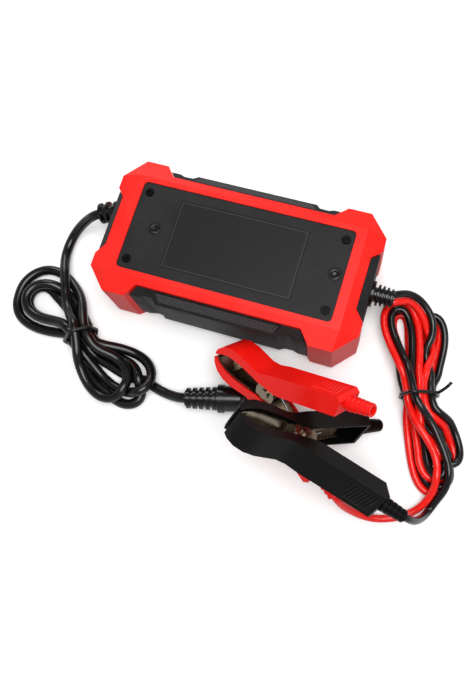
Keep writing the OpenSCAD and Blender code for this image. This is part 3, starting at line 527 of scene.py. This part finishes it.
# %% Where the strands end
def placed(at, roll_pitch_yaw):
    """A clamp's own frame: roll about x, then pitch about y, then yaw about z, then moved to its pivot. In mm."""
    (cr, cp, cy), (sr, sp, sy) = (f(np.radians(roll_pitch_yaw)) for f in (np.cos, np.sin))
    roll = np.array([[1, 0, 0], [0, cr, -sr], [0, sr, cr]])
    pitch = np.array([[cp, 0, sp], [0, 1, 0], [-sp, 0, cp]])
    yaw = np.array([[cy, -sy, 0], [sy, cy, 0], [0, 0, 1]])
    return lambda points: np.asarray(points, float) @ (yaw @ pitch @ roll).T + np.array(at)


clamps = {"red": placed((48.1, -77.8, 37.6), (47.8, -15, -24.9)),
          "black": placed((73.8, -105.5, 57.2), (-39, 31.4, 3.4))}
# The middle of a sleeve's mouth, and the way it points, in the clamp's frame. A strand's last drawn points stand
# 6 and 2 mm before the mouth, then 3 and 9 mm inside
mouth, along = np.array([65.8, -35.1, 0]), np.array([0.9272, -0.3746, 0])
ends = {colour: turned([mouth + along * out for out in (6, 2, -3, -9)]) for colour, turned in clamps.items()}
# Inside the handle the strand runs on to the steel, where it is crimped
FIRST_INSIDE, CRIMP = 10, 58   # mm behind the mouth
inside = [mouth - along * back for back in np.arange(FIRST_INSIDE, CRIMP, STEP)]
crimped = {colour: turned(inside) for colour, turned in clamps.items()}
print({colour: np.round(line[1], 1).tolist() for colour, line in ends.items()})

# %% Twin lead: the routes
strand_r = 2.4
output_waist = (135.5, -50.9)
output_heading = -72
PARTING = 8   # points before the pair's end at which its strands part
twin_route = [
    (100, 2, 26.7), (104.6, 2.3, 26.6), (108, 4.4, 25.6), (110.6, 6.6, 23.9), (114, 7.6, 21.5), (119.7, 5.7, 18.5),
    (125.3, 1.2, 15.5), (129.5, -4.5, 13), (132.2, -10.5, 12), (134.1, -16.9, 12), (134.9, -23.9, 13),
    (135.1, -30.9, 14), (135.7, -37.7, 14.5), (136.7, -43.1, 15), (138.4, -48.2, 15), (139.6, -51.9, 14.5),
    (142.8, -55.2, 13), (147.9, -59.4, 10.5), (154.5, -64.3, 8), (160.2, -69.6, 6.5), (164.9, -75.2, 5.5),
    (167.8, -81.4, 5), (168.5, -87.5, 5), (166.1, -91.7, 5), (162.1, -92.4, 5), (158.4, -89.2, 5), (155.8, -83.9, 5),
    (153.5, -78, 5), (151.1, -72.1, 5), (148.1, -65.8, 5.5), (145.1, -59, 6.5), (142.6, -52.6, 7.5),
    (141.3, -48.6, 8.5), (141.5, -42.8, 9), (141.1, -37.7, 8.5), (141, -31.8, 8), (141.2, -25.3, 7.5),
    (141.5, -18.7, 7), (141.2, -11.2, 7), (139.9, -4.3, 7), (137.3, 2.1, 7), (133.5, 5.8, 7), (129.6, 6.2, 7),
    (126.7, 3.3, 7), (125.6, -1.9, 6.5), (126.6, -9.2, 6), (128.6, -16.9, 6), (130.4, -24, 6), (132.1, -31.2, 6.5),
    (133.8, -37.7, 7), (135.7, -44.2, 8), (137.4, -50.2, 9), (138.1, -57, 9), (139.9, -64.7, 8), (142.4, -72.2, 7),
    (145, -79.6, 6.5), (147.7, -87, 6), (150.4, -93.6, 6), (154, -99.3, 6), (158.1, -102.6, 6), (162, -102.5, 6),
    (164.4, -98.8, 6), (164.6, -93.3, 6), (162.6, -87.4, 6), (159.4, -81.8, 6), (155.5, -76.5, 6.5),
    (151.5, -71.7, 7), (147.5, -67.2, 8), (143.5, -62.1, 9), (140, -57.1, 10), (137.4, -51.9, 11), (134.2, -48.1, 11),
    (130.9, -40.9, 10), (128.1, -32.9, 9), (125.6, -24.9, 9), (123.3, -16.8, 9), (121, -9.2, 9), (117.9, -2.4, 9),
    (114.1, 2.2, 9), (110, 3.8, 9), (107.2, 1.5, 9), (106.1, -3.3, 9), (107, -9, 9), (109.7, -14.6, 8.5),
    (113.6, -20.2, 8), (118, -26.2, 8), (122.3, -32, 8), (126.5, -37.8, 8.5), (129.6, -43.9, 9), (131.8, -50.8, 9.5),
    (131.4, -56.1, 9), (133.1, -62.7, 7.5), (135.7, -70.2, 6.5), (138.6, -78.2, 6), (141.6, -86.1, 5.5),
    (144.8, -93.3, 5), (148.4, -99.8, 5), (152.7, -105.1, 5), (157.2, -108, 5), (161.4, -108, 5), (164.7, -105.4, 5),
    (165.9, -100.7, 5), (165.1, -95.3, 5), (162.9, -89.4, 5), (159.5, -83.5, 6), (155.4, -77.1, 7),
    (150.5, -71.1, 8.5), (145.4, -65.1, 10), (140.5, -59.6, 12), (136.8, -54.8, 13.5), (134.6, -49.3, 15),
    (132.4, -44.4, 15), (130.7, -37.8, 14), (128.8, -30.3, 13.5), (127.1, -22.7, 13.5), (125, -14.6, 13.5),
    (122.8, -7.7, 13.5), (119.4, -1.2, 14), (115.2, 3.4, 14.5), (110.5, 5.7, 15), (106.1, 5.4, 15), (103.2, 2.4, 15),
    (102.4, -2.4, 14.5), (103.3, -7.9, 14), (105.5, -13.8, 14), (109, -19.3, 14), (113.2, -25.1, 14),
    (118.4, -31.6, 14), (123.1, -37.9, 14.5), (127.3, -44.1, 15), (130.9, -49.9, 15.5)]
# How far the pair is turned about its own line, in degrees, at some of those points. 0 has red on the right of
# the way it runs, -90 has it below. A pair turns on edge to go round a narrow fold, and turns over in the tie.
twin_turn = [(0, -20), (7, -20), (9, -110), (10, -200), (11, -275), (12, -325), (14, -360), (19, -370), (22, -440),
             (28, -450), (34, -530), (37, -520), (40, -460), (43, -460), (46, -530), (49, -540), (54, -720),
             (57, -735), (60, -795), (63, -805), (68, -830), (74, -850), (79, -835), (82, -835), (86, -860),
             (93, -1080), (98, -1080), (103, -1260), (105, -1260), (112, -1440), (130, -1440)]
red_tail = [
    (131, -55.7, 15.5), (134.3, -60.9, 15.5), (139.1, -67.1, 15), (144.4, -73.1, 14), (149.6, -78.5, 13),
    (153.9, -83.6, 12), (156.9, -89.1, 11.5), (158.8, -93.9, 11), (159.6, -99, 11), (159.5, -104.4, 11),
    (158.2, -109.6, 11.5), (157.5, -112.5, 12), (154.2, -118.2, 12), (149.8, -123.3, 12), (144.1, -127.5, 12.5),
    (137.6, -130.8, 14), (129, -133.8, 16.5), (119, -134.6, 22.5), *ends["red"]]
black_tail = [
    (135.1, -54.5, 15.5), (139, -58.3, 15), (143.9, -62.8, 14), (149.1, -68.3, 13), (154, -74.3, 12),
    (158.5, -80.5, 11), (162, -85.8, 9.5), (164.6, -91.3, 8), (165.8, -96.7, 6), (165.7, -102.1, 5),
    (164.1, -106.9, 4.5), (161.4, -112, 5.5), (159.3, -117.2, 10), (156.8, -121.9, 18.5), (154, -125.8, 28),
    (150.6, -128.6, 36), *ends["black"]]
turns = np.interp(np.arange(len(twin_route)), *np.transpose(twin_turn))
both = through(np.column_stack([twin_route, turns]))
turn = np.radians(both[:, 3:])
both = both[:, :3]
ahead = np.gradient(both, axis=0)
ahead /= np.linalg.norm(ahead, axis=1)[:, None]
side = np.cross(ahead, (0, 0, 1))
side /= np.linalg.norm(side, axis=1)[:, None]
apart = strand_r * (np.cos(turn) * side + np.sin(turn) * np.cross(side, ahead))
shared = len(both) - PARTING
strands = [
    np.vstack([edge[:shared], through(np.vstack([edge[shared - 1:shared + 4:2], tail]))[1:]])
    for edge, tail in ((both + apart, red_tail), (both - apart, black_tail))]
matched = (np.arange(shared), np.arange(shared) + len(strands[0]))
settled = settle(strands, strand_r, (*output_waist, 2.0, output_heading, 9.9), tightest_bend=11, pairs=matched)
red_line, black_line = (np.vstack([line, crimped[colour]]) for line, colour in zip(settled, ("red", "black")))
print("red strand", round(length_of(red_line)), "mm, black strand", round(length_of(black_line)), "mm")
print("tightest bends", tightest(red_line), tightest(black_line))

# %% Leads as meshes
mains_cord = carry_round("mains_cord", mains_line, mains_r, "black_pvc", 20)
red_strand = carry_round("red_strand", red_line, strand_r, "red_pvc", 12)
black_strand = carry_round("black_strand", black_line, strand_r, "black_pvc", 12)
print([len(o.data.polygons) for o in (mains_cord, red_strand, black_strand)], "faces")

# %% [markdown]
# ## The ties
# A tie is a thin rubber-coated wire pulled tight, so its loop is the tightest line round the strands: the
# convex hull of their sections, a wire's radius out. Each direction's support point among the section centres,
# moved out along that direction, gives that line straight away, corners already rounded.

# %% Ties
def tie_round(name, lines, radius, at, heading, wire=1.15, reach=22, corners=120, slack=1.06):
    """The grown hull of the points where the lines cross the upright plane at `at` that faces `heading` degrees, no
    more than `reach` mm to the side. `wire` is its radius, and `slack` the room it leaves the strands."""
    facing = np.array([math.cos(math.radians(heading)), math.sin(math.radians(heading)), 0])
    level = np.array([-facing[1], facing[0], 0])
    centre = np.array([*at, 0.0])
    hits = []
    for line in lines:
        depth = (line - centre) @ facing
        k = np.nonzero(depth[:-1] * depth[1:] <= 0)[0]
        share = (depth[k] / (depth[k] - depth[k + 1] + 1e-12))[:, None]
        hits.append(line[k] + share * (line[k + 1] - line[k]))
    hits = np.vstack(hits) - centre
    hits = hits[np.abs(hits @ level) < reach]
    flat = np.column_stack([hits @ level, hits[:, 2]])
    a = np.linspace(0, 2 * np.pi, corners, endpoint=False)
    way = np.column_stack([np.cos(a), np.sin(a)])
    loop = flat[(way @ flat.T).argmax(1)] + (radius * slack + wire) * way
    for _ in range(3):
        loop = 0.25 * np.roll(loop, 1, 0) + 0.5 * loop + 0.25 * np.roll(loop, -1, 0)
    loop[:, 1] = np.maximum(loop[:, 1], wire)
    line = centre + loop[:, :1] * level + loop[:, 1:] * np.array([0, 0, 1.0])
    print(name, "holds", len(hits), "strands in", np.round(np.ptp(loop, 0), 1), "mm")
    return carry_round(name, line, wire, "black_pvc", 10, closed=True), line


mains_loop, _ = tie_round("mains_tie_loop", [mains_line], mains_r, mains_waist, mains_heading)
output_loop, ring = tie_round("output_tie_loop", [red_line, black_line], strand_r, output_waist, output_heading)
start = ring[8]   # corner 8 of 120 is 24 degrees above the level
tail = through([start, start + (1.5, 1.0, 2.0), start + (4, 3.5, 4.6), start + (6.2, 7.5, 6.5)], soften=1)
output_tail = carry_round("output_tie_tail", tail, 1.0, "black_pvc", 10)

# %% What the leads ride on and stand for
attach(mains_cord, "charger")
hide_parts("mains_lead", "mains_hank", "mains_lead_tail")
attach(mains_loop, "charger")
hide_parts("mains_tie")
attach(output_loop, "charger")
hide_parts("output_tie")
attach(output_tail, "charger")
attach(red_strand, "charger")
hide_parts("red_lead", "output_lead_in", "output_hank", "output_slack")
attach(black_strand, "charger")
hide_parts("black_lead")
print("3 cords and 2 loops stand for 10 nodes; the tie's tail is new")

# %% [markdown]
# ## Rounded edges
# A mould can't cut a perfectly sharp edge, and the thin line of light along an edge is what makes plastic look
# solid. The solid model's edges are sharp, so each node that shows gets a copy: its loose triangles are merged,
# flat neighbours are joined into one face, and a small bevel goes on every edge that turns by more than 28
# degrees, or 9 on the case's shells, whose facets meet at a shallow angle. The copy stands for the node, which
# stays as it was for the physics.

# %% Copies with rounded edges
CREASE, SHELL_CREASE = 28, 9   # degrees


def rounded(node, body, finish, edge, angle=CREASE):
    """A merged copy of a node, with a bevel of `edge` mm."""
    source = nodes[node].data
    points = np.empty(len(source.vertices) * 3)
    source.vertices.foreach_get("co", points)
    corners = np.empty(len(source.loops), int)
    source.loops.foreach_get("vertex_index", corners)
    first, back = np.unique(np.round(points.reshape(-1, 3), 6), axis=0, return_inverse=True)
    triangles = back.reshape(-1)[corners].reshape(-1, 3)
    whole = (triangles != np.roll(triangles, 1, 1)).all(1)
    mesh = bpy.data.meshes.new("shown_" + node)
    mesh.from_pydata(first.tolist(), [], triangles[whole].tolist())
    work = bmesh.new()
    work.from_mesh(mesh)
    bmesh.ops.remove_doubles(work, verts=work.verts, dist=0.02 * mm)
    bmesh.ops.dissolve_limit(work, angle_limit=math.radians(1.5), verts=work.verts, edges=work.edges)
    work.to_mesh(mesh)
    work.free()
    made = link("shown_" + node, mesh, finish)
    mesh.set_sharp_from_angle(angle=math.radians(angle))
    bevel = made.modifiers.new("edge", "BEVEL")
    bevel.width, bevel.segments = edge * mm, 2
    bevel.limit_method, bevel.angle_limit = "ANGLE", math.radians(angle)
    bevel.harden_normals = True
    bevel.miter_outer = "MITER_ARC"
    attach(made, body)
    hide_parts(node)
    return made


shown = {}
for node, finish, edge in (
        ("front_shell", "red_abs", 0.5), ("back_shell", "red_abs", 0.6), ("back_plate", "black_abs", 0.25),
        ("near_side_panel", "black_abs", 0.35), ("far_side_panel", "black_abs", 0.35),
        ("mains_end_cap", "black_abs", 0.4), ("output_end_cap", "black_abs", 0.4),
        ("mains_gland", "black_pvc", 0.3), ("output_gland", "black_pvc", 0.3), ("plug_body", "black_pvc", 0.4)):
    shown[node] = rounded(node, "charger", finish, edge, SHELL_CREASE if node.endswith("shell") else CREASE)
for colour in ("red", "black"):
    for half, body in (("fixed", "charger"), ("moving", colour + "_clamp_far_half")):
        for part, finish, edge in (("grip", colour + "_grip", 0.4), ("jaw", "nickel_steel", 0.15)):
            node = f"{colour}_{half}_{part}"
            shown[node] = rounded(node, body, finish, edge)
print(len(shown), "nodes have rounded copies")

# %% [markdown]
# ## Thumb pads
# Each handle's back carries a ribbed pad near its end. A rib is a raised cosine, and the whole pad dies away to
# just under the handle's surface at its border, so that it grows out of the handle with no seam to be seen.

# %% Ribbed pads on the handles
PAD_FROM, PAD_TO, PAD_HALF = 27, 46, 6.6   # mm along the handle, and to each side of its middle
BORDER, PITCH, RISE, SUNK = 1.2, 2.3, 0.62, 0.12   # mm
HANDLE_TILT = 22   # degrees between a handle and the jaw line
HANDLE_OFF, HANDLE_DEPTH = 1.7, 13.6   # mm from the pivot to the handle's inner side, and from there to its back


def thumb_pad(name, colour, side, body):
    """Height over the handle's back = RISE * edge * (0.4 + 0.6 cos^2(pi u / PITCH)) - SUNK, with edge falling to 0
    at the border. Here u is the way along the handle less 0.22 of that across it, so the ribs slant a little.
    A flat grid underneath closes the pad. Sizes in mm."""
    u, v = np.linspace(PAD_FROM, PAD_TO, 96), np.linspace(-PAD_HALF, PAD_HALF, 28)
    U, V = np.meshgrid(u, v, indexing="ij")
    inset = np.minimum(np.minimum(U - PAD_FROM, PAD_TO - U) / BORDER, (PAD_HALF - np.abs(V)) / BORDER).clip(0, 1)
    edge = inset * inset * (3 - 2 * inset)
    lean = U - 0.22 * V
    high = RISE * edge * (0.4 + 0.6 * np.cos(np.pi * lean / PITCH) ** 2) - SUNK
    slope = math.radians(HANDLE_TILT)
    onward, outward = np.array([math.cos(slope), math.sin(slope), 0]), np.array([-math.sin(slope), math.cos(slope), 0])
    # The point of the back's line from which u counts stands 2 mm out from the pivot
    foot = np.array([2, HANDLE_OFF + 2 * math.tan(slope) + HANDLE_DEPTH, 0])
    along_it = U[..., None] * onward + foot + V[..., None] * np.array([0, 0, 1.0])
    grids = [along_it + high[..., None] * outward, along_it - 0.4 * outward]
    points = np.concatenate([grid.reshape(-1, 3) for grid in grids]) * np.array([1, side, 1])
    rows, columns = U.shape
    i, j = np.meshgrid(np.arange(rows - 1), np.arange(columns - 1), indexing="ij")
    k = i * columns + j
    top = np.stack([k, k + columns, k + columns + 1, k + 1], -1).reshape(-1, 4)
    number = np.arange(rows * columns).reshape(rows, columns)
    rim = np.concatenate([number[:, 0], number[-1, 1:], number[-2::-1, -1], number[0, -2:0:-1]])
    skirt = np.stack([rim, np.roll(rim, -1), np.roll(rim, -1) + rows * columns, rim + rows * columns], -1)
    faces = np.concatenate([top, top[:, ::-1] + rows * columns, skirt])
    mesh = bpy.data.meshes.new(name)
    mesh.from_pydata((clamps[colour](points) * mm).tolist(), [], faces.tolist())
    face_outwards(mesh)
    made = link(name, mesh, colour + "_grip")
    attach(made, body)
    return made


pads = {}
for colour in ("red", "black"):
    for half, side, body in (("near", -1, "charger"), ("far", 1, colour + "_clamp_far_half")):
        pads[colour, half] = thumb_pad(f"{colour}_{half}_thumb_pad", colour, side, body)
print(len(pads), "pads of", len(pads["red", "near"].data.polygons), "faces")

# %% [markdown]
# ## Sockets for the wall screws
# The two mounting holes get a lip moulded round each and a black bottom. The bottom is painted shade: a black
# disc where the depth of the hole lies in shadow. Each is one profile turned about the hole's axis.

# %% A profile turned about an upright axis
def turned_profile(name, profile, at, finish, sides=48):
    """Point k of the profile, at radius r and height z, makes the ring (r cos a, r sin a, z). Its two ends are at
    radius 0, where a ring is one point. Sizes in mm."""
    profile = np.asarray(profile, float)
    a = np.arange(sides) * 2 * np.pi / sides
    rings = np.stack([profile[1:-1, :1] * np.cos(a), profile[1:-1, :1] * np.sin(a),
                      np.broadcast_to(profile[1:-1, 1:], (len(profile) - 2, sides))], -1).reshape(-1, 3)
    points = np.vstack([rings, [[0, 0, profile[0, 1]], [0, 0, profile[-1, 1]]]]) + np.array([*at, 0])
    k, s = np.meshgrid(np.arange(len(profile) - 3) * sides, np.arange(sides), indexing="ij")
    quads = np.stack([k + s, k + (s + 1) % sides, k + sides + (s + 1) % sides, k + sides + s], -1).reshape(-1, 4)
    s = np.arange(sides)
    last = len(rings) - sides
    caps = np.stack([np.r_[s, s + last], np.r_[(s + 1) % sides, (s + 1) % sides + last],
                     np.repeat([len(rings), len(rings) + 1], sides)], -1)
    mesh = bpy.data.meshes.new(name)
    mesh.from_pydata((points * mm).tolist(), [], quads.tolist() + caps.tolist())
    face_outwards(mesh)
    return link(name, mesh, finish)


SOCKET = [(0, 50.35), (1.5, 50.35), (1.95, 50.5), (2.02, 50.9), (2.2, 51.45), (2.7, 51.68), (3.2, 51.68),
          (3.5, 51.52), (3.55, 51.3), (2.05, 51.25), (2.05, 50.1), (1.5, 50.05), (0, 50.05)]
HOLES_MIDDLE, HOLES_HALF = 5.5, 60.2   # mm along the case
for side, x in (("mains", HOLES_MIDDLE - HOLES_HALF), ("output", HOLES_MIDDLE + HOLES_HALF)):
    # The black bottom of each cup is painted shade deep in the hole; its lip is real.
    socket = turned_profile(side + "_wall_socket", SOCKET, (x, 0), "black_pvc")
    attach(socket, "charger")
print("sockets reach", max(z for _, z in SOCKET), "mm")

# %% [markdown]
# ## Grip strips
# Along both sides of the case runs a strip whose mould was etched with an open mesh, so that a hand doesn't
# slip. It is far too fine to model, and it lies on one flat slope, so two crossed sets of waves lift the
# surface along their crests. A wave crests twice in its length, once up and once down, and both count as ribs: so
# waves 4.2 mm long along the strip give a rib every 2.1 mm. The cube makes the ribs narrow and the holes wide.

# %% Etched mesh
WAVE = 4.2          # mm along the strip
MESH_STEEP = 1.24   # how much faster a wave runs across the strip than along it
material, tree, spot = begin("etched_mesh_abs_black")
split = add(tree, "SeparateXYZ", {"Vector": spot}).node
slope = add(tree, "Math", {"operation": "MULTIPLY", 0: split.outputs["Y"], 1: MESH_STEEP})
ribs = []
for sign in (-1, 1):
    slant = add(tree, "Math", {"operation": "MULTIPLY_ADD", 0: split.outputs["X"], 1: sign, 2: slope})
    phase = add(tree, "Math", {"operation": "MULTIPLY", 0: slant, 1: 2 * math.pi / (WAVE * mm)})
    wave = add(tree, "Math", {"operation": "SINE", 0: phase})
    crest = add(tree, "Math", {"operation": "ABSOLUTE", 0: wave})
    ribs.append(add(tree, "Math", {"operation": "POWER", 0: crest, 1: 3.0}))
rib_height_and_highlight = add(tree, "Math", {"operation": "MAXIMUM", 0: ribs[0], 1: ribs[1]})
# The rib crests are painted a lighter grey: a painted highlight where the light catches the ribs.
colour = add(tree, "Mix", {"data_type": "RGBA", 0: rib_height_and_highlight, 6: linear("#0B0B0C"), 7: linear("#3C3C3F")}, out=2)
relief = add(tree, "Bump", {"Height": rib_height_and_highlight, "Distance": 0.5 * mm})
surface(tree, {"Base Color": colour, "Roughness": 0.5, "IOR": 1.54, "Normal": relief})
finishes["grip_pad"] = material
for side in ("near", "far"):
    shown[side + "_grip_pad"] = rounded(side + "_grip_pad", "charger", "grip_pad", 0.2)
print("ribs every", WAVE / 2, "mm;", len(shown), "rounded copies now")

# %% [markdown]
# ## Everything else keeps its node
# Screws, rivets, springs, pins, and all that is inside the case need no rounder edges, only their finish.
# Each record slot names one, and a node's own mesh isn't touched.

# %% Finishes on the nodes
for row in frame["record"]["subparts"]:
    mesh = nodes[row["node"]].data
    mesh.materials.clear()
    mesh.materials.append(finishes[row["material_slot"]])

# %% The leads' lengths
def declare(piece, line, exit, thick, far_end, kind, *on_it):
    """Prints the lead's name and its length, measured along its line."""
    print(piece.name, "is", round(length_of(line)), "mm long")


declare(mains_cord, mains_line, mains_route[1], 2 * mains_r, "plug", "medium",
        shown["mains_gland"], mains_loop, shown["plug_body"], nodes["plug_pins"])
for colour, piece, line, more in (("red", red_strand, red_line, [shown["output_gland"], output_loop, output_tail]),
                                  ("black", black_strand, black_line, [])):
    clamp = [shown[f"{colour}_{half}_{part}"] for half in ("fixed", "moving") for part in ("grip", "jaw")]
    declare(piece, line, twin_route[1], 2 * strand_r, "fitting", "limp",
            *clamp, nodes[colour + "_rivet"], nodes[colour + "_spring"], *more)
